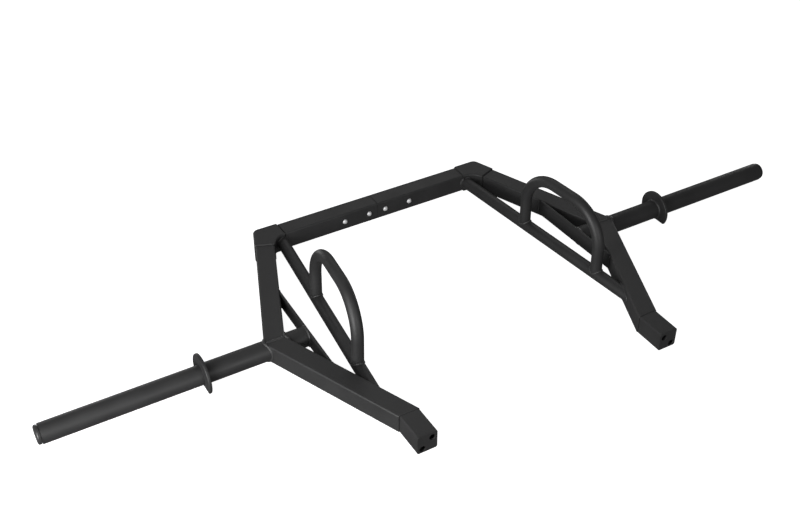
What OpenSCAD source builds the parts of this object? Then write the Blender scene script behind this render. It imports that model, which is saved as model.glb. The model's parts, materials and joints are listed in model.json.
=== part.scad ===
// Open-front trap bar: a flat frame of square tube that the lifter stands in,
// with a plate sleeve on each side and low and raised handles.
// Layout sizes are measured from the sleeve axis, X across, Y to the rear, Z up.
// Sub-parts are drawn on the right-hand side and mirrored for the left.

/* [Square tube] */
// Outside width of the frame tube
tube_w = 50; // [45:1:60]
// Wall of the frame tube
tube_wall = 3; // [2:0.5:4]
// Outside corner radius of the frame tube
tube_r = 4.5; // [3:0.5:7]

/* [Frame plan] */
// Rear corner of the tube centre-lines, from the middle of the bar
corner_x = 327; // [310:1:345]
// Rear corner of the tube centre-lines, behind the sleeve axis
corner_y = 394.5; // [385:0.5:410]
// Widest point of the tube centre-lines, on the sleeve axis
vertex_x = 481.5; // [475:0.5:495]
// Centre-line of each foot, from the middle of the bar
foot_x = 330.5; // [320:0.5:340]
// Where each front tube meets its foot, in front of the sleeve axis
foot_bend = 362; // [345:1:375]
// Front face of each foot, in front of the sleeve axis
foot_front = 438; // [425:1:455]
// Thickness of the plate that closes each foot
foot_plate_t = 3; // [3:1:6]
// Circle that the two foot plate holes lie on
foot_pcd = 34; // [28:1:36]
// Diameter of the two foot plate holes
foot_hole_d = 15; // [9:0.5:15]
// How far the pair of holes sits below the middle of the plate
foot_hole_drop = 2; // [0:0.5:3]

/* [Corner elbows] */
// Length of each elbow arm from the corner of the centre-lines
elbow_arm = 50; // [50:1:60]
// How far the elbow stands proud of the tube on every side
elbow_proud = 2.5; // [1:0.5:4]
// Plan radius of the outer corner
elbow_outer_r = 16; // [10:1:22]
// Plan radius of the inner corner along its top edge
elbow_inner_r = 45; // [30:1:45]
// Plan radius of the inner corner along its lower edge
elbow_under_r = 12; // [8:1:20]
// Rounding of the elbow's long edges
elbow_edge_r = 5; // [2:0.5:6]

/* [Crossbar joint] */
// Gap between the two crossbar halves
butt_gap = 0.6; // [0.2:0.1:1]
// Length of the insert tube that both halves slide over
insert_len = 260; // [240:10:300]
// Wall of the insert tube
insert_wall = 4; // [3:0.5:5]
// Sliding clearance round the insert tube
insert_gap = 0.2; // [0.1:0.05:0.4]
// Inner bolt position, from the middle of the bar
bolt_x_inner = 25; // [20:1:35]
// Outer bolt position, from the middle of the bar
bolt_x_outer = 100; // [80:1:110]
// Thread diameter of the joining bolts
bolt_d = 8; // [6:1:10]
// Diameter of the domed bolt heads
head_d = 14; // [12:0.5:18]
// Height of the domed bolt heads
head_h = 5; // [4:0.5:6]

/* [Plate sleeves] */
// Outside diameter of the sleeve that carries the plates
sleeve_d = 48.4; // [47:0.1:49.5]
// Outer end of the sleeve tube, from the middle of the bar
sleeve_end = 1034; // [1000:1:1080]
// Bore of the sleeve and of the mount pipe
pipe_bore = 40.4; // [38:0.2:42]
// Outside diameter of the pipe between frame and collar
mount_pipe_d = 50; // [48:0.5:50]
// Length of the solid spigot that joins sleeve and mount pipe
spigot_len = 120; // [80:5:160]

/* [Collars] */
// Middle of each collar, from the middle of the bar
collar_x = 662; // [650:1:680]
// Diameter of the collar
collar_d = 100; // [90:1:110]
// Thickness of the collar
collar_t = 8; // [6:0.5:12]
// Rounding of the collar's rim
collar_rim_r = 2.5; // [1:0.5:3]

/* [Sleeve end caps] */
// Diameter of the cap's head
cap_d = 45.4; // [44:0.2:48]
// How far the cap stands out of the sleeve
cap_proud = 10; // [8:0.5:12]
// Rounding of the cap's outer rim
cap_rim_r = 4; // [1:0.5:5]
// Diameter of the narrow neck under the cap's head
cap_neck_d = 41.5; // [41:0.5:44]
// Width of the groove that the neck leaves
cap_groove = 2.4; // [1:0.2:3]
// Depth of the cap's plug in the sleeve
cap_plug = 18; // [10:1:30]

/* [Low handles] */
// Outside diameter of the low handle tube
low_d = 31.8; // [28:0.1:34]
// Wall of both handle tubes
handle_wall = 3; // [2:0.5:4]
// Centre-line of the low handle on the sleeve axis, from the middle of the bar
low_x = 326; // [318:0.5:335]
// Angle that the low handle splays outwards towards the front
low_splay = 6.2; // [4:0.1:8]

/* [Raised handles] */
// Outside diameter of the raised handle tube
raised_d = 30; // [26:0.5:31]
// Half the distance between the two legs
raised_half = 135; // [115:1:140]
// Straight height of the legs above the low handle's centre-line
raised_leg = 75; // [50:1:100]
// Centre-line radius of the two bends
raised_bend = 100; // [60:1:110]
// Middle of the raised handle, in front of the sleeve axis
raised_front = 15; // [5:1:25]
// Angle that the raised handle leans inwards towards its top
raised_lean = 1; // [0:0.1:2]

/* [Braces] */
// Middle of the brace plate's thickness on the sleeve axis, from the middle of the bar
brace_x = 398; // [390:0.5:405]
// Angle that the brace plate splays outwards towards the front
brace_splay = 1.5; // [0:0.1:3]
// Thickness of the brace plate
brace_t = 5; // [4:0.5:8]
// Height of the brace plate
brace_h = 44; // [38:1:50]

/* [Hidden] */
$fn = 64;
reach = 1200;

black = "#2b2b2c";
bare_steel = "#8d8f92";
zinc = "#c9cacc";
cap_grey = "#3a3a3b";

half_w = tube_w / 2;
elbow_half = half_w + elbow_proud;
front_face = corner_y - half_w;
rear_face = corner_y + half_w;
insert_w = tube_w - 2 * tube_wall - 2 * insert_gap;
spigot_gap = 0.2;

// Uncut pieces end inside the side tubes, in Y, before they are trimmed to them
brace_run = 400;
trim_rear = 320;
low_front = 288;
low_run = (corner_y + low_front) / cos(low_splay);

// Centre-line corners in plan
corner = [corner_x, corner_y];
vertex = [vertex_x, 0];
foot_top = [foot_x, -foot_bend];
foot_end = [foot_x, -foot_front + foot_plate_t];

// Joining hardware
bolt_xs = [-bolt_x_outer, -bolt_x_inner, bolt_x_inner, bolt_x_outer];
bolt_clear = 0.4;
neck_w = bolt_d;
washer_t = 1.6;
nut_af = 1.625 * bolt_d;
nut_hex_h = 0.8 * bolt_d;
nut_top_h = 0.2 * bolt_d;
nut_top_d = 0.86 * nut_af;
thread_out = 2;
bolt_end = rear_face + washer_t + nut_hex_h + nut_top_h + thread_out;

// The row frame's origin: middle of the whole bar in X and Y, level with its lowest face
y_shift = (foot_front - bolt_end) / 2;
z_shift = elbow_half;

function unit(v) = v / norm(v);
side_dir = unit(vertex - corner);
side_out = [-side_dir.y, side_dir.x];
turn = acos(side_dir.x);
bisector = unit([0, 1] + side_out);
front_dir = unit(foot_top - vertex);
front_out = [-front_dir.y, front_dir.x];
// X of a side tube's outer (side 1) or inner (side -1) face at a given Y
function rear_side_x(y, side) = vertex_x + (side * half_w - y * side_out.y) / side_out.x;
function front_side_x(y, side) = vertex_x + (side * half_w - y * front_out.y) / front_out.x;
low_dir = [sin(low_splay), -cos(low_splay)];
function low_point(y) = [low_x - y * tan(low_splay), y];

// Moves a sub-part from the sleeve axis frame to the row frame
module place() translate([0, y_shift, z_shift]) children();
module on_left() mirror([1, 0, 0]) children();

module rounded_square(w, r) {
    square([w - 2 * r, w], center = true);
    square([w, w - 2 * r], center = true);
    for (x = [-1, 1], y = [-1, 1])
        translate([x * (w / 2 - r), y * (w / 2 - r)]) circle(r = r);
}

// Turns +Z to run in plan from p towards q
module along(p, q) {
    heading = atan2(q.y - p.y, q.x - p.x);
    translate([p.x, p.y, 0]) rotate([0, 90, heading]) children();
}

module frame_tube(p, q, before = 0, after = 0) {
    start = p - unit(q - p) * before;
    length = norm(q - start) + after;
    difference() {
        along(start, q) linear_extrude(length) rounded_square(tube_w, tube_r);
        along(start, q) translate([0, 0, -1]) linear_extrude(length + 2)
            rounded_square(tube_w - 2 * tube_wall, tube_r - tube_wall);
    }
}

// Everything between two Y positions
module between(y0, y1) {
    intersection() {
        children();
        translate([0, y0, -tube_w]) cube([reach, y1 - y0, 2 * tube_w]);
    }
}

function arc(centre, r, from, to, steps = 12) =
    [for (i = [0 : steps]) let (t = from + (to - from) * i / steps) centre + r * [cos(t), sin(t)]];

// Plan outline of the elbow at a given distance from the centre-line, clockwise.
// The inner radius is given at the elbow's outermost faces.
function elbow_outline(half, arm, inner) =
    let (
        outer_r = elbow_outer_r - (elbow_half - half),
        inner_r = inner + (elbow_half - half),
        outer_mid = bisector * (half - outer_r) / cos(turn / 2),
        inner_mid = -bisector * (half + inner_r) / cos(turn / 2),
        side_angle = 90 - turn
    )
    concat(
        [[-arm, half]],
        arc(outer_mid, outer_r, 90, side_angle),
        [side_dir * arm + side_out * half, side_dir * arm - side_out * half],
        arc(inner_mid, inner_r, side_angle, 90),
        [[-arm, -half]]
    );

module elbow_bore() {
    half = half_w - tube_wall;
    translate([corner.x, corner.y, -half]) linear_extrude(2 * half)
        polygon(elbow_outline(half, elbow_arm + 1, elbow_under_r));
}

// Elbow with rounded long edges: outlines stacked from its underside to its top
module elbow_form() {
    steps = 4;
    rings = [
        for (i = [0 : 2 * steps + 1]) let (
            above = i > steps,
            angle = 90 * (above ? i - steps - 1 : steps - i) / steps,
            z = elbow_half - elbow_edge_r * (1 - sin(angle))
        ) [
            elbow_half - elbow_edge_r * (1 - cos(angle)),
            above ? elbow_inner_r : elbow_under_r,
            above ? z : -z
        ]
    ];
    outlines = [
        for (ring = rings) [for (p = elbow_outline(ring[0], elbow_arm, ring[1])) [p.x, p.y, ring[2]]]
    ];
    n = len(outlines[0]);
    last = len(rings) - 1;
    walls = [
        for (k = [0 : last - 1], i = [0 : n - 1])
            let (j = (i + 1) % n) [k * n + i, k * n + j, k * n + n + j, k * n + n + i]
    ];
    bottom = [for (i = [n - 1 : -1 : 0]) i];
    top = [for (i = [0 : n - 1]) last * n + i];
    translate([corner.x, corner.y, 0])
        polyhedron([for (outline = outlines, p = outline) p], concat(walls, [bottom, top]));
}

module ring_x(d, bore, x0, x1) {
    translate([x0, 0, 0]) rotate([0, 90, 0]) difference() {
        cylinder(d = d, h = x1 - x0);
        translate([0, 0, -1]) cylinder(d = bore, h = x1 - x0 + 2);
    }
}

module at_bolts() {
    for (x = bolt_xs) translate([x, 0, 0]) rotate([-90, 0, 0]) children();
}

// Crossbar half: square holes in front for the bolt necks, round holes behind
module crossbar() {
    color(black) place() difference() {
        frame_tube([butt_gap / 2, corner_y], [corner_x - elbow_arm, corner_y]);
        for (x = [bolt_x_inner, bolt_x_outer]) {
            hole_w = neck_w + bolt_clear;
            translate([x, front_face + tube_wall / 2, 0])
                cube([hole_w, tube_wall + 2, hole_w], center = true);
            translate([x, corner_y, 0]) rotate([-90, 0, 0]) cylinder(d = bolt_d + bolt_clear, h = tube_w);
        }
    }
}

module joining_insert() {
    color(bare_steel) place() difference() {
        translate([-insert_len / 2, corner_y, 0]) rotate([0, 90, 0]) linear_extrude(insert_len)
            rounded_square(insert_w, tube_r - tube_wall);
        translate([-insert_len / 2 - 1, corner_y, 0]) rotate([0, 90, 0]) linear_extrude(insert_len + 2)
            square(insert_w - 2 * insert_wall, center = true);
        translate([0, front_face, 0]) at_bolts() cylinder(d = bolt_d + bolt_clear, h = tube_w);
    }
}

module joining_bolts() {
    dome_r = (head_d * head_d / 4 + head_h * head_h) / (2 * head_h);
    color(zinc) place() translate([0, front_face, 0]) at_bolts() {
        intersection() {
            translate([0, 0, dome_r - head_h]) sphere(r = dome_r);
            translate([0, 0, -head_h]) cylinder(d = head_d + 2, h = head_h);
        }
        translate([0, 0, tube_wall / 2]) cube([neck_w, neck_w, tube_wall], center = true);
        cylinder(d = bolt_d, h = bolt_end - front_face);
    }
}

module joining_washers() {
    color(zinc) place() translate([0, rear_face, 0]) at_bolts() difference() {
        cylinder(d = 2 * bolt_d, h = washer_t);
        translate([0, 0, -1]) cylinder(d = bolt_d + bolt_clear, h = washer_t + 2);
    }
}

module joining_nuts() {
    color(zinc) place() translate([0, rear_face + washer_t, 0]) at_bolts() difference() {
        union() {
            rotate([0, 0, 30]) cylinder(d = nut_af / cos(30), h = nut_hex_h, $fn = 6);
            cylinder(d = nut_top_d, h = nut_hex_h + nut_top_h);
        }
        translate([0, 0, -1]) cylinder(d = bolt_d + 0.1, h = nut_hex_h + nut_top_h + 2);
    }
}

module corner_elbow() {
    color(black) place() difference() {
        elbow_form();
        elbow_bore();
    }
}

module rear_side_tube() {
    color(black) place()
        between(0, reach) frame_tube(vertex, corner + side_dir * elbow_arm, before = tube_w);
}

module front_side_tube() {
    color(black) place()
        between(-foot_bend, 0) frame_tube(vertex, foot_top, before = tube_w, after = tube_w);
}

module foot_tube() {
    color(black) place() frame_tube(foot_top, foot_end);
}

// The two holes lie on a diagonal: upper inner and lower outer
module foot_plate() {
    color(black) place() translate([foot_x, -foot_front + foot_plate_t, 0]) rotate([90, 0, 0])
        difference() {
            linear_extrude(foot_plate_t) rounded_square(tube_w, tube_r);
            translate([0, -foot_hole_drop, 0])
                for (a = [135, 315]) rotate([0, 0, a]) translate([foot_pcd / 2, 0, -1])
                    cylinder(d = foot_hole_d, h = foot_plate_t + 2);
        }
}

// Trims whatever meets the flat sides of the two side tubes
module side_tubes_block() {
    translate([0, 0, -tube_w]) linear_extrude(2 * tube_w) polygon([
        [rear_side_x(trim_rear, 1), trim_rear], [rear_side_x(0, 1), 0],
        [front_side_x(-foot_bend, 1), -foot_bend], [front_side_x(-foot_bend, -1), -foot_bend],
        [rear_side_x(0, -1), 0], [rear_side_x(trim_rear, -1), trim_rear]
    ]);
}

// Uncut brace plate between two heights
module brace_form(low, high) {
    translate([brace_x, 0, low]) rotate([0, 0, brace_splay]) translate([-brace_t / 2, -brace_run / 2, 0])
        cube([brace_t, brace_run, high - low]);
}

module brace_plate() {
    color(black) place() difference() {
        brace_form(half_w - brace_h, half_w);
        side_tubes_block();
    }
}

// Short pipe from the inner side of the frame's widest point to the brace
module brace_stub() {
    color(black) place() difference() {
        ring_x(mount_pipe_d, pipe_bore, brace_x, vertex_x);
        brace_form(-tube_w, tube_w);
        side_tubes_block();
    }
}

// Pipe from the outer side of the frame's widest point to the collar
module mount_pipe() {
    color(black) place() difference() {
        ring_x(mount_pipe_d, pipe_bore, vertex_x, collar_x - collar_t / 2);
        side_tubes_block();
    }
}

module sleeve_spigot() {
    color(bare_steel) place() translate([collar_x - spigot_len / 2, 0, 0]) rotate([0, 90, 0])
        cylinder(d = pipe_bore - spigot_gap, h = spigot_len);
}

// Round disc with a flat below, level with the underside of the frame
module collar() {
    rim = collar_d / 2 - collar_rim_r;
    edge = collar_t / 2 - collar_rim_r;
    color(black) place() difference() {
        translate([collar_x, 0, 0]) rotate([0, 90, 0]) rotate_extrude() {
            translate([pipe_bore / 2, -collar_t / 2]) square([rim - pipe_bore / 2, collar_t]);
            translate([rim - 1, -edge]) square([collar_rim_r + 1, 2 * edge]);
            for (y = [-edge, edge]) translate([rim, y]) circle(r = collar_rim_r);
        }
        translate([collar_x - collar_t, -collar_d, -half_w - collar_d])
            cube([2 * collar_t, 2 * collar_d, collar_d]);
    }
}

module plate_sleeve() {
    color(black) place() ring_x(sleeve_d, pipe_bore, collar_x + collar_t / 2, sleeve_end);
}

// Plug with a narrow neck and a round-edged head
module end_cap() {
    rim = cap_d / 2 - cap_rim_r;
    color(cap_grey) place() translate([sleeve_end, 0, 0]) rotate([0, 90, 0]) rotate_extrude() {
        translate([0, -cap_plug]) square([(pipe_bore - spigot_gap) / 2, cap_plug]);
        square([cap_neck_d / 2, cap_groove]);
        translate([0, cap_groove]) square([cap_d / 2, cap_proud - cap_groove - cap_rim_r]);
        translate([0, cap_groove]) square([rim, cap_proud - cap_groove]);
        translate([rim, cap_proud - cap_rim_r]) circle(r = cap_rim_r);
    }
}

module low_handle_form(d) {
    start = low_point(corner_y);
    along(start, start + low_dir) cylinder(d = d, h = low_run);
}

module low_handle() {
    color(black) place() difference() {
        low_handle_form(low_d);
        low_handle_form(low_d - 2 * handle_wall);
        translate([0, front_face, -half_w]) cube([corner_x - elbow_arm, tube_w, tube_w]);
        elbow_form();
        side_tubes_block();
    }
}

// Solid arch standing on the low handle's centre-line, for the tube or for its bore
module arch_form(d) {
    top_half = raised_half - raised_bend;
    for (side = [0, 1]) mirror([side, 0, 0]) {
        translate([raised_half, 0, 0]) cylinder(d = d, h = raised_leg);
        translate([top_half, 0, raised_leg]) rotate([90, 0, 0])
            rotate_extrude(angle = 90) translate([raised_bend, 0]) circle(d = d);
    }
    translate([-top_half, 0, raised_leg + raised_bend]) rotate([0, 90, 0])
        cylinder(d = d, h = 2 * top_half);
}

module raised_handle() {
    foot = low_point(-raised_front);
    color(black) place() difference() {
        translate([foot.x, foot.y, 0]) rotate([0, 0, 90 + low_splay]) rotate([-raised_lean, 0, 0])
            difference() {
                arch_form(raised_d);
                arch_form(raised_d - 2 * handle_wall);
            }
        low_handle_form(low_d);
    }
}

on_left() crossbar();  // crossbar_left
crossbar();  // crossbar_right
joining_insert();
joining_bolts();
joining_washers();
joining_nuts();
on_left() corner_elbow();  // corner_elbow_left
corner_elbow();  // corner_elbow_right
on_left() rear_side_tube();  // rear_side_tube_left
rear_side_tube();  // rear_side_tube_right
on_left() front_side_tube();  // front_side_tube_left
front_side_tube();  // front_side_tube_right
on_left() foot_tube();  // foot_tube_left
foot_tube();  // foot_tube_right
on_left() foot_plate();  // foot_plate_left
foot_plate();  // foot_plate_right
on_left() brace_plate();  // brace_plate_left
brace_plate();  // brace_plate_right
on_left() brace_stub();  // brace_stub_left
brace_stub();  // brace_stub_right
on_left() mount_pipe();  // mount_pipe_left
mount_pipe();  // mount_pipe_right
on_left() sleeve_spigot();  // sleeve_spigot_left
sleeve_spigot();  // sleeve_spigot_right
on_left() collar();  // collar_left
collar();  // collar_right
on_left() plate_sleeve();  // plate_sleeve_left
plate_sleeve();  // plate_sleeve_right
on_left() end_cap();  // end_cap_left
end_cap();  // end_cap_right
on_left() low_handle();  // low_handle_left
low_handle();  // low_handle_right
on_left() raised_handle();  // raised_handle_left
raised_handle();  // raised_handle_right
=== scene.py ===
import json
import math
import random

import bmesh
import bpy
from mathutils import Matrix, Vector


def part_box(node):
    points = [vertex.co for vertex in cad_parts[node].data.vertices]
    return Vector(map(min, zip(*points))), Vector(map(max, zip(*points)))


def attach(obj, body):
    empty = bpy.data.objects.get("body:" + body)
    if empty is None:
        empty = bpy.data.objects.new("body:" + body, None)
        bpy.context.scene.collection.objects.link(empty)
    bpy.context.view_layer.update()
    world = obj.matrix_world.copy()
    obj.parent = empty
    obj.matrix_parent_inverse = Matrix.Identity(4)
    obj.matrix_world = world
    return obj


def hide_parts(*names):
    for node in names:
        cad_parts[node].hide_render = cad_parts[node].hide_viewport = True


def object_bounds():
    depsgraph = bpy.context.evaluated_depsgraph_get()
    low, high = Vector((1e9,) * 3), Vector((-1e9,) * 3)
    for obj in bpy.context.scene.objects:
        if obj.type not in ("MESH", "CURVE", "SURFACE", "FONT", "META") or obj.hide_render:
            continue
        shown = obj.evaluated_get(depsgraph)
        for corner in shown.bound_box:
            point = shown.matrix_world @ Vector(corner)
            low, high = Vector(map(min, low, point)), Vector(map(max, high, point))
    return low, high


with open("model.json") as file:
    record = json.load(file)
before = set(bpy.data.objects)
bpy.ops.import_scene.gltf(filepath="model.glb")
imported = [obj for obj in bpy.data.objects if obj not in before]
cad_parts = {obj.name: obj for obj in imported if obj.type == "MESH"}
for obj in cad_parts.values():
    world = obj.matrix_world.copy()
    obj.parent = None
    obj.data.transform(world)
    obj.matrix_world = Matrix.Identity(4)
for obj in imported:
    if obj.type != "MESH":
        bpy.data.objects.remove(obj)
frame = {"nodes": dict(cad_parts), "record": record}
cadLow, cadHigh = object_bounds()
print("loaded the packed bar")

# everything is laid out from the sleeve axis, right-hand side first
sleeveLow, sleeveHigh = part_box("plate_sleeve_right")
crossbarLow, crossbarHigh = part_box("crossbar_right")
footLow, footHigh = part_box("foot_tube_right")
lowTubeLow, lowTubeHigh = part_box("low_handle_right")
archLow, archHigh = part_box("raised_handle_right")
braceLow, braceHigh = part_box("brace_plate_right")
stubLow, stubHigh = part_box("brace_stub_right")
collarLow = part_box("collar_right")[0]

axisY = (sleeveLow.y + sleeveHigh.y) / 2
axisZ = (crossbarLow.z + crossbarHigh.z) / 2
halfTube = (footHigh.x - footLow.x) / 2
pipeRadius = (stubHigh.z - stubLow.z) / 2
up = Vector((0, 0, 1))
sides = {"Left": -1, "Right": 1}


def placed(point, side):
    # from the right-hand layout to the bar itself
    return Vector((side * point.x, point.y + axisY, point.z + axisZ))


cameraSetup = {
    "azimuth": -30.14,
    "elevation": 37.24,
    "distance": 2.891,
    "aimAt": (-0.0689, 0.1323),
    "lens": 50.86,
    "sensor": 36,
}


def directionTo(azimuth, elevation):
    a, e = math.radians(azimuth), math.radians(elevation)
    return Vector((math.sin(a) * math.cos(e), -math.cos(a) * math.cos(e), math.sin(e)))


def makeCamera():
    back = directionTo(cameraSetup["azimuth"], cameraSetup["elevation"])
    aim = Vector((*cameraSetup["aimAt"], axisZ))
    data = bpy.data.cameras.new("studioCamera")
    data.sensor_width = cameraSetup["sensor"]
    data.lens = cameraSetup["lens"]
    camera = bpy.data.objects.new("studioCamera", data)
    bpy.context.scene.collection.objects.link(camera)
    camera.location = aim + back * cameraSetup["distance"]
    camera.rotation_mode = "QUATERNION"
    camera.rotation_quaternion = (-back).to_track_quat("-Z", "Y")
    bpy.context.scene.camera = camera


makeCamera()
print("camera set")


def newFinish(name):
    finish = bpy.data.materials.new(name)
    finish.use_nodes = True
    nodes = finish.node_tree.nodes
    return finish, nodes, finish.node_tree.links, nodes["Principled BSDF"]


def addNoise(nodes, links, scale, detail, stretch=(1, 1, 1)):
    # noise in real metres, stretched along an axis if asked
    coords = nodes.new("ShaderNodeTexCoord")
    mapping = nodes.new("ShaderNodeMapping")
    mapping.inputs["Scale"].default_value = stretch
    noise = nodes.new("ShaderNodeTexNoise")
    noise.inputs["Scale"].default_value = scale
    noise.inputs["Detail"].default_value = detail
    links.new(coords.outputs["Object"], mapping.inputs["Vector"])
    links.new(mapping.outputs["Vector"], noise.inputs["Vector"])
    return noise


def addRamp(nodes, links, source, low, high, start=0.35, end=0.65):
    ramp = nodes.new("ShaderNodeValToRGB")
    ramp.color_ramp.elements[0].position = start
    ramp.color_ramp.elements[1].position = end
    ramp.color_ramp.elements[0].color = (*low, 1)
    ramp.color_ramp.elements[1].color = (*high, 1)
    links.new(source, ramp.inputs["Fac"])
    return ramp.outputs["Color"]


def addRange(nodes, links, source, low, high, start=0.3, end=0.7):
    spread = nodes.new("ShaderNodeMapRange")
    spread.inputs["From Min"].default_value = start
    spread.inputs["From Max"].default_value = end
    spread.inputs["To Min"].default_value = low
    spread.inputs["To Max"].default_value = high
    links.new(source, spread.inputs["Value"])
    return spread.outputs["Result"]


def addBump(nodes, links, shader, height, depth, strength):
    bump = nodes.new("ShaderNodeBump")
    bump.inputs["Strength"].default_value = strength
    bump.inputs["Distance"].default_value = depth
    links.new(height, bump.inputs["Height"])
    links.new(bump.outputs["Normal"], shader.inputs["Normal"])
    return bump


coatLook = {
    "deep": (0.0250, 0.0250, 0.0254),
    "pale": (0.0302, 0.0302, 0.0306),
    "roughness": (0.46, 0.57),
    "specular": 0.5,
    "cloudSize": 14,
    "grainSize": 1300,
    "grainDepth": 0.00016,
    "bump": 0.35,
}


def makePowderCoat():
    # matt black powder coat: a fine orange peel over faint clouds of tone
    finish, nodes, links, shader = newFinish("powderCoat")
    clouds = addNoise(nodes, links, coatLook["cloudSize"], 5)
    grain = addNoise(nodes, links, coatLook["grainSize"], 2)
    tone = addRamp(nodes, links, clouds.outputs["Fac"], coatLook["deep"], coatLook["pale"])
    links.new(tone, shader.inputs["Base Color"])
    sheen = addRange(nodes, links, clouds.outputs["Fac"], *coatLook["roughness"])
    links.new(sheen, shader.inputs["Roughness"])
    shader.inputs["Specular IOR Level"].default_value = coatLook["specular"]
    addBump(nodes, links, shader, grain.outputs["Fac"], coatLook["grainDepth"], coatLook["bump"])
    return finish


# bead tones sit above the coat's tones: a painted highlight for the light caught along a bead's curve
weldPaintedHighlightLook = {
    "deep": (0.032, 0.032, 0.0325),
    "pale": (0.046, 0.046, 0.0465),
    "roughness": (0.32, 0.44),
    "specular": 0.55,
    "grainSize": 700,
    "grainDepth": 0.0002,
    "bump": 0.4,
}


def makeWeldCoatPaintedHighlight():
    # the same coat over a bead, shinier, with its tone painted lighter than the coat as a painted
    # highlight for the light a bead catches on its curve
    finish, nodes, links, shader = newFinish("weldCoatPaintedHighlight")
    grain = addNoise(nodes, links, weldPaintedHighlightLook["grainSize"], 3)
    tone = addRamp(nodes, links, grain.outputs["Fac"], weldPaintedHighlightLook["deep"], weldPaintedHighlightLook["pale"])
    links.new(tone, shader.inputs["Base Color"])
    sheen = addRange(nodes, links, grain.outputs["Fac"], *weldPaintedHighlightLook["roughness"])
    links.new(sheen, shader.inputs["Roughness"])
    shader.inputs["Specular IOR Level"].default_value = weldPaintedHighlightLook["specular"]
    addBump(nodes, links, shader, grain.outputs["Fac"], weldPaintedHighlightLook["grainDepth"], weldPaintedHighlightLook["bump"])
    return finish


zincLook = {
    "dull": (0.74, 0.74, 0.75),
    "bright": (0.88, 0.88, 0.89),
    "roughness": (0.38, 0.50),
    "metallic": 0.25,
    "spotSize": 420,
    "spotDepth": 0.00005,
    "bump": 0.3,
}


def makeZinc():
    # pale crystals of zinc plate, more grey than mirror
    finish, nodes, links, shader = newFinish("brightZinc")
    spots = addNoise(nodes, links, zincLook["spotSize"], 4)
    tone = addRamp(nodes, links, spots.outputs["Fac"], zincLook["dull"], zincLook["bright"])
    links.new(tone, shader.inputs["Base Color"])
    sheen = addRange(nodes, links, spots.outputs["Fac"], *zincLook["roughness"])
    links.new(sheen, shader.inputs["Roughness"])
    shader.inputs["Metallic"].default_value = zincLook["metallic"]
    addBump(nodes, links, shader, spots.outputs["Fac"], zincLook["spotDepth"], zincLook["bump"])
    return finish


steelLook = {
    "dull": (0.30, 0.30, 0.31),
    "bright": (0.44, 0.44, 0.45),
    "roughness": (0.32, 0.48),
    "drawSize": 60,
    "drawStretch": (0.6, 18, 18),
    "drawDepth": 0.00008,
    "bump": 0.3,
}


def makePlainSteel():
    # drawn tube: long faint lines along X
    finish, nodes, links, shader = newFinish("drawnSteel")
    lines = addNoise(nodes, links, steelLook["drawSize"], 4, steelLook["drawStretch"])
    tone = addRamp(nodes, links, lines.outputs["Fac"], steelLook["dull"], steelLook["bright"])
    links.new(tone, shader.inputs["Base Color"])
    sheen = addRange(nodes, links, lines.outputs["Fac"], *steelLook["roughness"])
    links.new(sheen, shader.inputs["Roughness"])
    shader.inputs["Metallic"].default_value = 1
    addBump(nodes, links, shader, lines.outputs["Fac"], steelLook["drawDepth"], steelLook["bump"])
    return finish


capLook = {
    "deep": (0.030, 0.030, 0.0305),
    "pale": (0.042, 0.042, 0.0425),
    "roughness": (0.24, 0.34),
    "grainSize": 900,
    "grainDepth": 0.0001,
    "bump": 0.25,
}


def makeCapPlastic():
    # moulded plug, smoother than the coat round it
    finish, nodes, links, shader = newFinish("mouldedCap")
    grain = addNoise(nodes, links, capLook["grainSize"], 3)
    tone = addRamp(nodes, links, grain.outputs["Fac"], capLook["deep"], capLook["pale"])
    links.new(tone, shader.inputs["Base Color"])
    sheen = addRange(nodes, links, grain.outputs["Fac"], *capLook["roughness"])
    links.new(sheen, shader.inputs["Roughness"])
    addBump(nodes, links, shader, grain.outputs["Fac"], capLook["grainDepth"], capLook["bump"])
    return finish


powderCoat = makePowderCoat()
weldCoatPaintedHighlight = makeWeldCoatPaintedHighlight()
slotFinishes = {
    "powder_coat": powderCoat,
    "zinc_hardware": makeZinc(),
    "plain_steel": makePlainSteel(),
    "cap_plastic": makeCapPlastic(),
}
for subpart in frame["record"]["subparts"]:
    node = frame["nodes"][subpart["node"]]
    for place in node.material_slots:
        place.material = slotFinishes[subpart["material_slot"]]
print("finishes made")


def addPiece(name, points, faces, finish, nodes=(), sharpAngle=38):
    mesh = bpy.data.meshes.new(name)
    mesh.from_pydata([tuple(p) for p in points], [], faces)
    work = bmesh.new()
    work.from_mesh(mesh)
    bmesh.ops.recalc_face_normals(work, faces=work.faces)
    work.to_mesh(mesh)
    work.free()
    mesh.shade_smooth()
    mesh.set_sharp_from_angle(angle=math.radians(sharpAngle))
    mesh.materials.append(finish)
    piece = bpy.data.objects.new(name, mesh)
    bpy.context.scene.collection.objects.link(piece)
    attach(piece, "root")
    if nodes:
        # flat walls stay flat beside their rounded corners
        weighted = piece.modifiers.new("weighted", "WEIGHTED_NORMAL")
        weighted.keep_sharp = True
        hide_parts(*nodes)
    return piece


def skin(rings, closed):
    # quads from ring to ring, and a face on each open end
    count = len(rings[0])
    last = len(rings)
    points = [p for ring in rings for p in ring]
    faces = []
    for k in range(last if closed else last - 1):
        a, b = k * count, (k + 1) % last * count
        for i in range(count):
            j = (i + 1) % count
            faces.append((a + i, a + j, b + j, b + i))
    if not closed:
        faces.append(tuple(range(count)))
        faces.append(tuple((last - 1) * count + i for i in range(count)))
    return points, faces


# a tube's four corners: across, up and the angle its arc starts at
corners = [(1, 1, 0), (-1, 1, 90), (-1, -1, 180), (1, -1, 270)]
cornerSteps = 5


def boxRing(centre, across, halfWide, halfHigh, radius):
    # upright rounded rectangle, across by up
    ring = []
    for sx, sz, start in corners:
        for i in range(cornerSteps + 1):
            t = math.radians(start + 90 * i / cornerSteps)
            x = sx * (halfWide - radius) + radius * math.cos(t)
            z = sz * (halfHigh - radius) + radius * math.sin(t)
            ring.append(centre + across * x + up * z)
    return ring


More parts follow.
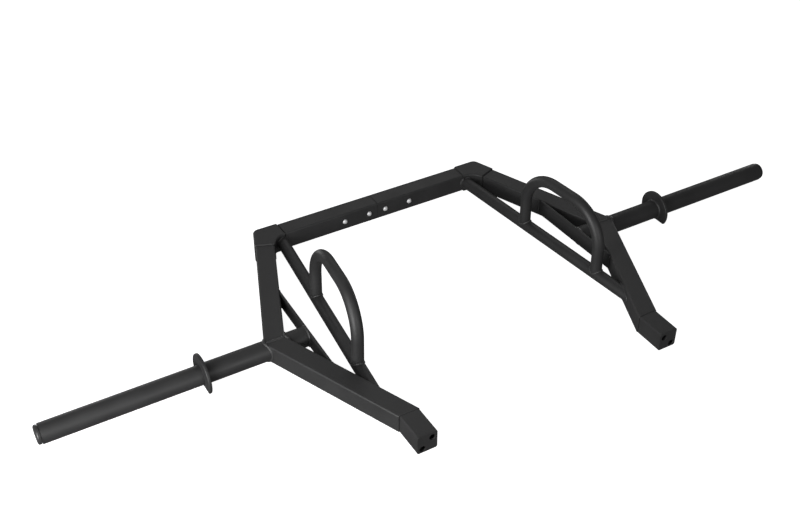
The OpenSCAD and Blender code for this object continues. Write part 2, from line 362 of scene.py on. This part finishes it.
elbowMake = {
    "arm": 0.050,
    "proud": 0.0025,
    "outerRadius": 0.016,
    "innerRadiusTop": 0.045,
    "innerRadiusUnder": 0.012,
    "edgeRadius": 0.005,
    "lead": 0.0034,
    "swell": [(0.35, 0.1), (0.7, 0.8)],  # share of the lead, share of the proud step
    "bendSteps": 12,
}
tubeMake = {
    "wall": 0.003,
    "cornerRadius": 0.0045,
    "grooveDepth": 0.0018,
    "grooveLead": 0.0016,
    "vertexLead": 0.0028,
    "buttRound": 0.0011,
    "buttShare": 0.3,
    "footBore": 0.07,
}

crossbarY = (crossbarLow.y + crossbarHigh.y) / 2 - axisY
corner = Vector((crossbarHigh.x + elbowMake["arm"], crossbarY, 0))
footTop = Vector(((footLow.x + footHigh.x) / 2, footHigh.y - axisY, 0))
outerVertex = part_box("rear_side_tube_right")[1].x
# the side tubes meet half a slanted tube in from the frame's outermost point,
# and the slant depends on that point, so it settles in a few rounds
widest = Vector((outerVertex - halfTube, 0, 0))
for settle in range(8):
    slope = (widest - corner).length / corner.y
    widest.x = outerVertex - halfTube * slope

rearRun = (widest - corner).normalized()
rearOut = Vector((-rearRun.y, rearRun.x, 0))
frontRun = (footTop - widest).normalized()
frontOut = Vector((-frontRun.y, frontRun.x, 0))
turn = math.acos(rearRun.x)


def elbowPoint(angle, centreAway, radius):
    # a point on one of the elbow's plan arcs
    towards = (Vector((0, 1, 0)) + rearOut).normalized()
    centre = towards * (centreAway / math.cos(turn / 2))
    return centre + Vector((math.cos(angle), math.sin(angle), 0)) * radius


def elbowBendRing(angle, half):
    # the inner side is a wide curve along the top and nearly sharp below
    outerR = elbowMake["outerRadius"]
    outer = elbowPoint(angle, half - outerR, outerR)
    inner = {}
    for sz, key in ((1, "innerRadiusTop"), (-1, "innerRadiusUnder")):
        inner[sz] = elbowPoint(angle, -half - elbowMake[key], elbowMake[key])
    radius = elbowMake["edgeRadius"]
    ring = []
    for sx, sz, start in corners:
        edge = outer if sx > 0 else inner[sz]
        across = (outer - inner[sz]).normalized()
        for i in range(cornerSteps + 1):
            t = math.radians(start + 90 * i / cornerSteps)
            x = radius * (math.cos(t) - sx)
            z = sz * (half - radius) + radius * math.sin(t)
            ring.append(edge + across * x + up * z)
    return ring


def elbowRings():
    half = halfTube + elbowMake["proud"]
    arm, lead = elbowMake["arm"], elbowMake["lead"]
    radius = elbowMake["edgeRadius"]
    rings = []

    def straightRing(along, out, distance, size):
        rings.append(boxRing(along * distance, out, size, size, radius - (half - size)))

    # each arm starts in the groove and swells to full size
    swell = [(0, halfTube - tubeMake["grooveDepth"])]
    swell += [(share, halfTube + rise * elbowMake["proud"]) for share, rise in elbowMake["swell"]]
    swell.append((1, half))
    for share, size in swell:
        straightRing(Vector((-1, 0, 0)), Vector((0, 1, 0)), arm - share * lead, size)
    steps = elbowMake["bendSteps"]
    for i in range(steps + 1):
        rings.append(elbowBendRing(math.radians(90) - turn * i / steps, half))
    for share, size in reversed(swell):
        straightRing(rearRun, rearOut, arm - share * lead, size)
    return rings


def makeElbow(word, side):
    rings = [[placed(p + corner, side) for p in ring] for ring in elbowRings()]
    points, faces = skin(rings, False)
    nodeName = "corner_elbow_" + word.lower()
    addPiece("cornerElbow" + word, points, faces, powderCoat, [nodeName])


for word, side in sides.items():
    makeElbow(word, side)
print("corner elbows made")


def tubeRing(centre, across, inset, side):
    size = halfTube - inset
    ring = boxRing(centre, across, size, size, tubeMake["cornerRadius"] - inset)
    return [placed(p, side) for p in ring]


def addTube(pieceName, rings, nodeName):
    points, faces = skin(rings, False)
    addPiece(pieceName, points, faces, powderCoat, [nodeName])


def makeCrossbar(word, side):
    # the butted end is eased, so the joint reads as a fine groove
    ease, share = tubeMake["buttRound"], tubeMake["buttShare"]
    start, end = crossbarLow.x, crossbarHigh.x
    across = Vector((0, 1, 0))
    stations = [(start, ease), (start + share * ease, share * ease), (start + ease, 0)]
    stations += [(end - tubeMake["grooveLead"], 0), (end, tubeMake["grooveDepth"])]
    rings = [tubeRing(Vector((x, corner.y, 0)), across, inset, side) for x, inset in stations]
    addTube("crossbarHalf" + word, rings, "crossbar_" + word.lower())


def onLine(run, y):
    # a point on a side tube's centre-line
    return widest + run * (y / run.y)


def makeRearTube(word, side):
    # cut square to the bar at the widest point and square to itself at the elbow
    reach = elbowMake["arm"]
    across = Vector((1 / rearOut.x, 0, 0))
    depth, lead = tubeMake["grooveDepth"], tubeMake["grooveLead"]
    rings = [
        tubeRing(widest, across, depth, side),
        tubeRing(onLine(rearRun, tubeMake["vertexLead"]), across, 0, side),
        tubeRing(corner + rearRun * (reach + lead), rearOut, 0, side),
        tubeRing(corner + rearRun * reach, rearOut, depth, side),
    ]
    addTube("rearSideTube" + word, rings, "rear_side_tube_" + word.lower())


def makeFrontTube(word, side):
    across = Vector((1 / frontOut.x, 0, 0))
    depth, lead = tubeMake["grooveDepth"], tubeMake["grooveLead"]
    rings = [
        tubeRing(widest, across, 0, side),
        tubeRing(onLine(frontRun, footTop.y + lead), across, 0, side),
        tubeRing(footTop, across, depth, side),
    ]
    addTube("frontSideTube" + word, rings, "front_side_tube_" + word.lower())


def makeFootTube(word, side):
    # open behind its end plate, so the two holes look into the bore
    ahead = Vector((0, -1, 0))
    across = Vector((1, 0, 0))
    depth, lead = tubeMake["grooveDepth"], tubeMake["grooveLead"]
    length = footHigh.y - footLow.y
    rings = [tubeRing(footTop, across, depth, side), tubeRing(footTop + ahead * lead, across, 0, side)]
    rings.append(tubeRing(footTop + ahead * length, across, 0, side))
    bore = halfTube - tubeMake["wall"]
    boreRadius = tubeMake["cornerRadius"] - tubeMake["wall"]
    for away in (length, length - tubeMake["footBore"]):
        ring = boxRing(footTop + ahead * away, across, bore, bore, boreRadius)
        rings.append([placed(p, side) for p in ring])
    addTube("footTube" + word, rings, "foot_tube_" + word.lower())


for word, side in sides.items():
    makeCrossbar(word, side)
    makeRearTube(word, side)
    makeFrontTube(word, side)
    makeFootTube(word, side)
print("square tubes made")


plateMake = {
    "braceEase": 0.0009,
    "footEase": 0.0008,
    "joinWithin": 0.00001,
    "flatWithin": 0.5,  # degrees
    "sharpOver": 60,  # degrees
}


def makeEasedPlate(nodeName, pieceName, ease):
    # the same plate with its sharp edges eased
    mesh = frame["nodes"][nodeName].data.copy()
    work = bmesh.new()
    work.from_mesh(mesh)
    bmesh.ops.remove_doubles(work, verts=work.verts, dist=plateMake["joinWithin"])
    flat = math.radians(plateMake["flatWithin"])
    bmesh.ops.dissolve_limit(work, angle_limit=flat, verts=work.verts, edges=work.edges)
    inner = [e for e in work.edges if len(e.link_faces) == 2]
    sharp = [e for e in inner if e.calc_face_angle() > math.radians(plateMake["sharpOver"])]
    bmesh.ops.bevel(
        work, geom=sharp, offset=ease, segments=2, profile=0.5, affect="EDGES", clamp_overlap=True
    )
    points = [v.co.copy() for v in work.verts]
    faces = [tuple(v.index for v in f.verts) for f in work.faces]
    work.free()
    bpy.data.meshes.remove(mesh)
    addPiece(pieceName, points, faces, powderCoat, [nodeName])


for word in sides:
    makeEasedPlate("brace_plate_" + word.lower(), "bracePlate" + word, plateMake["braceEase"])
    makeEasedPlate("foot_plate_" + word.lower(), "footPlate" + word, plateMake["footEase"])
print("plates eased")


weldMake = {
    "step": 0.0009,
    "pitch": 0.0034,
    "rippleDepth": 0.16,
    "wander": 0.06,
    "sectionPoints": 8,
    "sharpAngle": 70,
    "roundSteps": 72,
    "legSteps": 60,
    "underTop": 0.0001,
}


def resample(path, outs, closed):
    # evenly spaced points and outward directions along the weld
    ends = list(zip(path, outs))
    if closed:
        ends.append(ends[0])
    points, normals = [], []
    for (a, na), (b, nb) in zip(ends, ends[1:]):
        count = max(1, round((b - a).length / weldMake["step"]))
        for i in range(count):
            points.append(a.lerp(b, i / count))
            normals.append(na.lerp(nb, i / count).normalized())
    if not closed:
        points.append(ends[-1][0])
        normals.append(ends[-1][1])
    return points, normals


def makeBead(name, path, outs, wide, high, side, closed, clipped=True):
    # a row of overlapping ripples, wide across the joint and high out of it,
    # kept inside the frame's own height unless it sits on a handle
    weldLimit = halfTube + elbowMake["proud"] - weldMake["underTop"]
    points, normals = resample(path, outs, closed)
    chance = random.Random(name)
    count = len(points)
    rings = []
    travelled = 0
    wobble = 1
    for i in range(count):
        ahead = points[(i + 1) % count] if closed or i < count - 1 else points[i]
        behind = points[i - 1] if closed or i > 0 else points[i]
        tangent = (ahead - behind).normalized()
        across = tangent.cross(normals[i]).normalized()
        travelled += (points[i] - behind).length if i else 0
        ripple = abs(math.sin(math.pi * travelled / weldMake["pitch"]))
        if ripple < 0.3:
            wobble = 1 + chance.uniform(-weldMake["wander"], weldMake["wander"])
        size = wobble * (1 - weldMake["rippleDepth"] * (1 - ripple))
        taper = 1 if closed else min(1, (0.6 + min(i, count - 1 - i)) / 4)
        ring = []
        for k in range(weldMake["sectionPoints"]):
            t = 2 * math.pi * k / weldMake["sectionPoints"]
            offset = across * math.cos(t) * wide * size * taper
            offset += normals[i] * math.sin(t) * high * size * taper
            spot = points[i] + offset
            spot.z = max(-weldLimit, min(weldLimit, spot.z)) if clipped else spot.z
            ring.append(placed(spot, side))
        rings.append(ring)
    skinPoints, faces = skin(rings, closed)
    addPiece(name, skinPoints, faces, weldCoatPaintedHighlight, sharpAngle=weldMake["sharpAngle"])


def pipeOnFaces(start, run, radius, faces, spread):
    # where a round tube lands on the nearest of some flat faces
    sideways = run.cross(up).normalized()
    path, outs = [], []
    for i in range(weldMake["roundSteps"]):
        t = 2 * math.pi * i / weldMake["roundSteps"]
        radial = sideways * math.cos(t) + run.cross(sideways).normalized() * math.sin(t)
        edge = start + radial * radius
        hits = [((point - edge).dot(n) / run.dot(n), n) for point, n in faces]
        reach, normal = min(hits, key=lambda hit: hit[0])
        path.append(edge + run * reach)
        outs.append((radial + normal * spread).normalized())
    return path, outs


# how wide each weld lies across its joint, and how high it stands out of it
vertexWeld = {"wide": 0.0036, "high": 0.0023}
pipeWeld = {"wide": 0.0038, "high": 0.0032}
handleWeld = {"wide": 0.0030, "high": 0.0027}
plateWeld = {"wide": 0.0026, "high": 0.0026}


def sideFace(y, run, out, outward):
    # x of a side tube's outer or inner face at a given y
    return widest.x + (outward * halfTube - y * out.y) / out.x


vertexPlace = {
    "ahead": 0.0024,
    "fromInside": 0.002,
    "fromOutside": 0.004,
}


def weldVertex(word, side):
    # across the top and the underside where the side tubes meet
    y = -vertexPlace["ahead"]
    insideX = sideFace(0, rearRun, rearOut, -1) + vertexPlace["fromInside"]
    outsideX = sideFace(0, rearRun, rearOut, 1) - vertexPlace["fromOutside"]
    for place, z in (("Top", 1), ("Under", -1)):
        path = [Vector((insideX, y, z * halfTube)), Vector((outsideX, y, z * halfTube))]
        outs = [up * z, up * z]
        makeBead("weldVertex" + place + word, path, outs, **vertexWeld, side=side, closed=False)


def weldPipes(word, side):
    # mount pipe outside and brace stub inside, round the frame's widest point
    for name, outward in (("weldMountPipe", 1), ("weldBraceStub", -1)):
        path, outs = [], []
        for i in range(weldMake["roundSteps"]):
            t = 2 * math.pi * i / weldMake["roundSteps"]
            y, z = pipeRadius * math.cos(t), pipeRadius * math.sin(t)
            run, out = (rearRun, rearOut) if y > 0 else (frontRun, frontOut)
            path.append(Vector((sideFace(y, run, out, outward), y, z)))
            outs.append((Vector((0, math.cos(t), math.sin(t))) + out * outward).normalized())
        makeBead(name + word, path, outs, **pipeWeld, side=side, closed=True)


braceMake = {
    "splay": 1.5,
    "thick": 0.005,
    "weldShort": 0.001,
}
braceSlope = math.tan(math.radians(braceMake["splay"]))
braceMiddle = (braceLow.x + braceHigh.x) / 2


def braceFace(y, way):
    # x of the brace plate's outer or inner face
    return braceMiddle - y * braceSlope + way * braceMake["thick"] / 2


def weldRing(name, xAt, face, side, fromAngle=0, toAngle=360):
    # round a pipe that lies along X, against a face that looks along X
    closed = toAngle - fromAngle >= 360
    count = weldMake["roundSteps"]
    path, outs = [], []
    for i in range(count if closed else count + 1):
        t = math.radians(fromAngle + (toAngle - fromAngle) * i / count)
        y, z = pipeRadius * math.cos(t), pipeRadius * math.sin(t)
        path.append(Vector((xAt(y), y, z)))
        outs.append((Vector((face, math.cos(t), math.sin(t)))).normalized())
    makeBead(name, path, outs, **pipeWeld, side=side, closed=closed)


def weldCollar(word, side):
    weldRing("weldCollar" + word, lambda y: collarLow.x, -1, side)
    # the brace is lower than the stub, so this one stops at its lower edge
    drop = math.degrees(math.asin((axisZ - braceLow.z) / pipeRadius))
    weldRing("weldStubEnd" + word, lambda y: braceFace(y, 1), 1, side, -drop, 180 + drop)


lowHandle = {
    "atAxis": 0.326,
    "splay": 6.2,
    "radius": (lowTubeHigh.z - lowTubeLow.z) / 2,
    "pastBar": 0.014,
    "elbowSlant": (-0.28, -1, 0),
}
splay = math.radians(lowHandle["splay"])
lowRun = Vector((math.sin(splay), -math.cos(splay), 0))
lowAcross = Vector((math.cos(splay), math.sin(splay), 0))


def lowPoint(y):
    return Vector((lowHandle["atAxis"] - y * math.tan(splay), y, 0))


def weldLowHandle(word, side):
    # its front end lands on the front side tube, its rear end on the crossbar and the elbow
    inner = [(widest - frontOut * halfTube, -frontOut)]
    path, outs = pipeOnFaces(lowPoint(0), lowRun, lowHandle["radius"], inner, 1)
    makeBead("weldLowFront" + word, path, outs, **handleWeld, side=side, closed=True)
    barFace = Vector((0, corner.y - halfTube, 0))
    elbowY = corner.y - halfTube - elbowMake["proud"]
    elbowFace = Vector((crossbarHigh.x + lowHandle["pastBar"], elbowY, 0))
    slant = Vector(lowHandle["elbowSlant"]).normalized()
    rear = [(barFace, Vector((0, -1, 0))), (elbowFace, slant)]
    path, outs = pipeOnFaces(lowPoint(0), -lowRun, lowHandle["radius"], rear, 1)
    makeBead("weldLowRear" + word, path, outs, **handleWeld, side=side, closed=True)


raisedHandle = {
    "legRadius": 0.015,
}


def weldRaisedHandle(word, side):
    # each leg sits in a saddle on the low handle
    middle = (archLow.y + archHigh.y) / 2 - axisY
    legRadius = raisedHandle["legRadius"]
    legHalf = ((archHigh.y - archLow.y) / 2 - legRadius) / math.cos(splay)
    for place, way in (("Front", 1), ("Rear", -1)):
        centre = lowPoint(middle) + lowRun * legHalf * way
        path, outs = [], []
        for i in range(weldMake["legSteps"]):
            t = 2 * math.pi * i / weldMake["legSteps"]
            wide = legRadius * math.sin(t)
            radial = lowRun * math.cos(t) + lowAcross * math.sin(t)
            height = math.sqrt(lowHandle["radius"] ** 2 - wide ** 2)
            saddle = (lowAcross * wide + up * height) / lowHandle["radius"]
            path.append(centre + radial * legRadius + up * height)
            outs.append((radial + saddle).normalized())
        name = "weldLeg" + place + word
        makeBead(name, path, outs, **handleWeld, side=side, closed=True, clipped=False)


def weldBrace(word, side):
    # upright fillets on both faces of the plate, at both of its ends
    top = braceHigh.z - axisZ - braceMake["weldShort"]
    low = braceLow.z - axisZ + braceMake["weldShort"]
    for place, out in (("Rear", rearOut), ("Front", frontOut)):
        for face, way in (("In", -1), ("Out", 1)):
            start = braceFace(0, way)
            y = (-halfTube - (start - widest.x) * out.x) / (out.y - braceSlope * out.x)
            away = (Vector((way, 0, 0)) - out).normalized()
            path = [Vector((braceFace(y, way), y, low)), Vector((braceFace(y, way), y, top))]
            name = "weldBrace" + place + face + word
            makeBead(name, path, [away, away], **plateWeld, side=side, closed=False)


for word, side in sides.items():
    weldVertex(word, side)
    weldPipes(word, side)
    weldCollar(word, side)
    weldLowHandle(word, side)
    weldRaisedHandle(word, side)
    weldBrace(word, side)
print("welds laid")


floorMake = {
    "size": 160,
    "drop": 0.0005,
    "tone": (0.90, 0.90, 0.90),
    "mottle": 0.99,
    "roughness": 0.9,
    "specular": 0.1,
    "glow": 0.95,
}


def makeFloor():
    finish, nodes, links, shader = newFinish("studioFloor")
    mottle = addNoise(nodes, links, 3, 3)
    tone = floorMake["tone"]
    darker = tuple(floorMake["mottle"] * c for c in tone)
    pale = addRamp(nodes, links, mottle.outputs["Fac"], darker, tone)
    links.new(pale, shader.inputs["Base Color"])
    shader.inputs["Roughness"].default_value = floorMake["roughness"]
    shader.inputs["Specular IOR Level"].default_value = floorMake["specular"]
    shader.inputs["Emission Color"].default_value = (1, 1, 1, 1)
    shader.inputs["Emission Strength"].default_value = floorMake["glow"]
    half = floorMake["size"] / 2
    edges = [(-half, -half, 0), (half, -half, 0), (half, half, 0), (-half, half, 0)]
    mesh = bpy.data.meshes.new("studioFloor")
    mesh.from_pydata(edges, [], [(0, 1, 2, 3)])
    mesh.materials.append(finish)
    floor = bpy.data.objects.new("studioFloor", mesh)
    bpy.context.scene.collection.objects.link(floor)
    floor.location.z = cadLow.z - floorMake["drop"]
    # the pale floor doesn't light the black bar from below
    floor.visible_diffuse = False
    floor.visible_glossy = False


lightSetup = {
    "left": {"azimuth": -66, "elevation": 9, "distance": 2.3, "size": 1.2, "power": 42},
    "leftHigh": {"azimuth": -62, "elevation": 36, "distance": 2.3, "size": 0.8, "power": 9},
    "front": {"azimuth": 0, "elevation": 18, "distance": 3.0, "size": 1.2, "power": 18},
    "rear": {"azimuth": 150, "elevation": 44, "distance": 3.6, "size": 2.4, "power": 12},
    "back": {"azimuth": 188, "elevation": 3, "distance": 3.2, "size": 1.0, "power": 13},
    "right": {"azimuth": 118, "elevation": 3, "distance": 3.4, "size": 1.0, "power": 7},
}
worldGlow = 0.12


def makeLights():
    middle = Vector((0, 0, axisZ))
    for name, look in lightSetup.items():
        data = bpy.data.lights.new(name + "Light", "AREA")
        data.shape = "DISK"
        data.size = look["size"]
        data.energy = look["power"]
        light = bpy.data.objects.new(name + "Light", data)
        bpy.context.scene.collection.objects.link(light)
        away = directionTo(look["azimuth"], look["elevation"])
        light.location = middle + away * look["distance"]
        light.rotation_mode = "QUATERNION"
        light.rotation_quaternion = (-away).to_track_quat("-Z", "Y")
    world = bpy.data.worlds.new("studioWorld")
    world.use_nodes = True
    world.node_tree.nodes["Background"].inputs["Color"].default_value = (1, 1, 1, 1)
    world.node_tree.nodes["Background"].inputs["Strength"].default_value = worldGlow
    bpy.context.scene.world = world


makeFloor()
makeLights()
bpy.context.scene.view_settings.view_transform = "Standard"
print("floor and lights set")
